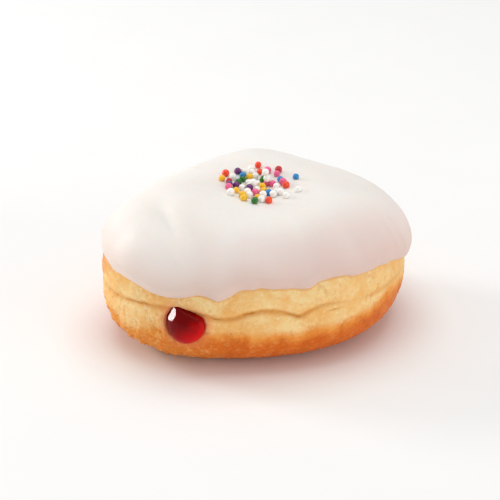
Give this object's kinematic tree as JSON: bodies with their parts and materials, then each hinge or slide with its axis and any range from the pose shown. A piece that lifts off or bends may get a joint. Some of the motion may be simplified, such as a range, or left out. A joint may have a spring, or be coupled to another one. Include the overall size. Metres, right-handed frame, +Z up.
{
  "type": "jam-filled doughnut",
  "caption": "Round filled yeast doughnut with white icing, sugar beads in a shallow dip on top, and jam showing in the filling hole on its side.",
  "frame": {"origin": "middle of the flat spot that the doughnut rests on, under the middle of its widest line", "axes": "+Z up; -Y towards the front, where the filling hole is a little to the left; +X to the right"},
  "size_m": [0.091, 0.0828, 0.048],
  "materials": {
    "dough": "soft fried crust, golden brown with a pale band round the middle",
    "icing": "set white sugar icing with a soft gloss, and sugar beads in mixed colours",
    "jam": "wet, glossy, deep red jam"
  },
  "bodies": {
    "root": {"dough": "dough", "icing": "icing", "jam": "jam"}
  },
  "joints": []
}
